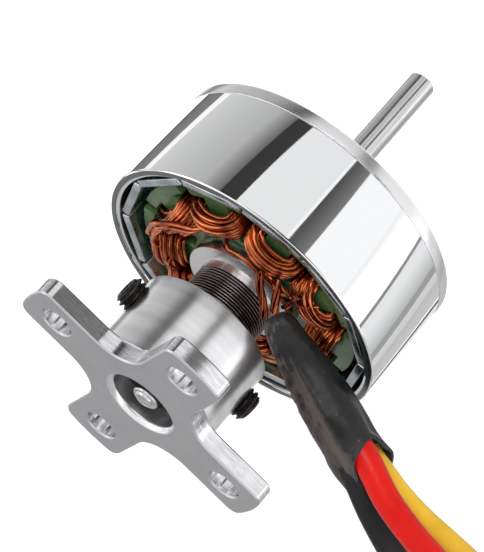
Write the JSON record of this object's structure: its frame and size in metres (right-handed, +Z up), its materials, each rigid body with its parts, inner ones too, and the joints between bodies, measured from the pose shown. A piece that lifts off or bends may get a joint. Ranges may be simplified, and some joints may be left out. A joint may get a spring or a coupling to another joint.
{
  "type": "brushless outrunner motor",
  "caption": "Small brushless outrunner motor: magnet bell with front shaft turning round a wound stator, held by a clamped cross mount, with three leads.",
  "frame": {"origin": "middle of the cross mount's back face, on the shaft's axis", "axes": "+Y along the shaft towards its free end, the mount's back face looks along -Y, +Z up, so the leads hang along -Z"},
  "size_m": [0.0409, 0.0406, 0.0886],
  "materials": {
    "mount_aluminium": "fine satin face with bright milled edges",
    "turned_aluminium": "finely turned",
    "bell_chrome": "mirror polished",
    "shaft_steel": "ground and polished",
    "bearing_steel": "ground",
    "black_steel": "black oxide",
    "magnet_nickel": "nickel plated",
    "green_epoxy": "glossy epoxy coat on steel laminations",
    "copper_wire": "clear enamel on copper wire",
    "spacer_brass": "turned",
    "gold_plate": "gold plated",
    "heat_shrink": "satin polyolefin tube",
    "red_silicone": "soft satin silicone",
    "black_silicone": "soft satin silicone",
    "yellow_silicone": "soft satin silicone"
  },
  "bodies": {
    "stator": {"cross_mount": "mount_aluminium", "collar_screw_1": "black_steel", "collar_screw_2": "black_steel", "bearing_tube": "turned_aluminium", "stator_core": "green_epoxy", "coil_01": "copper_wire", "coil_02": "copper_wire", "coil_03": "copper_wire", "coil_04": "copper_wire", "coil_05": "copper_wire", "coil_06": "copper_wire", "coil_07": "copper_wire", "coil_08": "copper_wire", "coil_09": "copper_wire", "winding_tail_1": "copper_wire", "winding_tail_2": "copper_wire", "winding_tail_3": "copper_wire", "rear_bearing_outer_ring": "bearing_steel", "rear_bearing_shield_inside": "bearing_steel", "rear_bearing_shield_outside": "bearing_steel", "front_bearing_outer_ring": "bearing_steel", "front_bearing_shield_inside": "bearing_steel", "front_bearing_shield_outside": "bearing_steel", "lead_sleeve": "heat_shrink", "lead_red": "red_silicone", "lead_black": "black_silicone", "lead_yellow": "yellow_silicone", "bullet_red": "gold_plate", "bullet_black": "gold_plate", "bullet_yellow": "gold_plate", "bullet_sleeve_red": "heat_shrink", "bullet_sleeve_black": "heat_shrink", "bullet_sleeve_yellow": "heat_shrink"},
    "rotor": {"flux_ring": "bell_chrome", "front_cap": "turned_aluminium", "magnet_01": "magnet_nickel", "magnet_02": "magnet_nickel", "magnet_03": "magnet_nickel", "magnet_04": "magnet_nickel", "magnet_05": "magnet_nickel", "magnet_06": "magnet_nickel", "magnet_07": "magnet_nickel", "magnet_08": "magnet_nickel", "magnet_09": "magnet_nickel", "magnet_10": "magnet_nickel", "magnet_11": "magnet_nickel", "magnet_12": "magnet_nickel", "shaft": "shaft_steel", "hub_set_screw": "black_steel", "retaining_clip": "bearing_steel", "rear_washer": "bearing_steel", "front_spacer": "spacer_brass", "rear_bearing_inner_ring": "bearing_steel", "front_bearing_inner_ring": "bearing_steel"},
    "rear_ball_set": {"rear_bearing_balls": "bearing_steel"},
    "front_ball_set": {"front_bearing_balls": "bearing_steel"}
  },
  "joints": [
    {"name": "rotor_spin", "type": "hinge", "parent": "stator", "child": "rotor", "pos_m": [0, 0.0186, 0], "axis": [0, 1, 0], "continuous": true},
    {"name": "rear_balls_roll", "type": "hinge", "parent": "stator", "child": "rear_ball_set", "pos_m": [0, 0.0047, 0], "axis": [0, 1, 0], "continuous": true},
    {"name": "front_balls_roll", "type": "hinge", "parent": "stator", "child": "front_ball_set", "pos_m": [0, 0.02005, 0], "axis": [0, 1, 0], "continuous": true}
  ],
  "couplings": [
    {"joint": "rear_balls_roll", "follows": "rotor_spin", "ratio": 0.38095},
    {"joint": "front_balls_roll", "follows": "rotor_spin", "ratio": 0.38095}
  ]
}
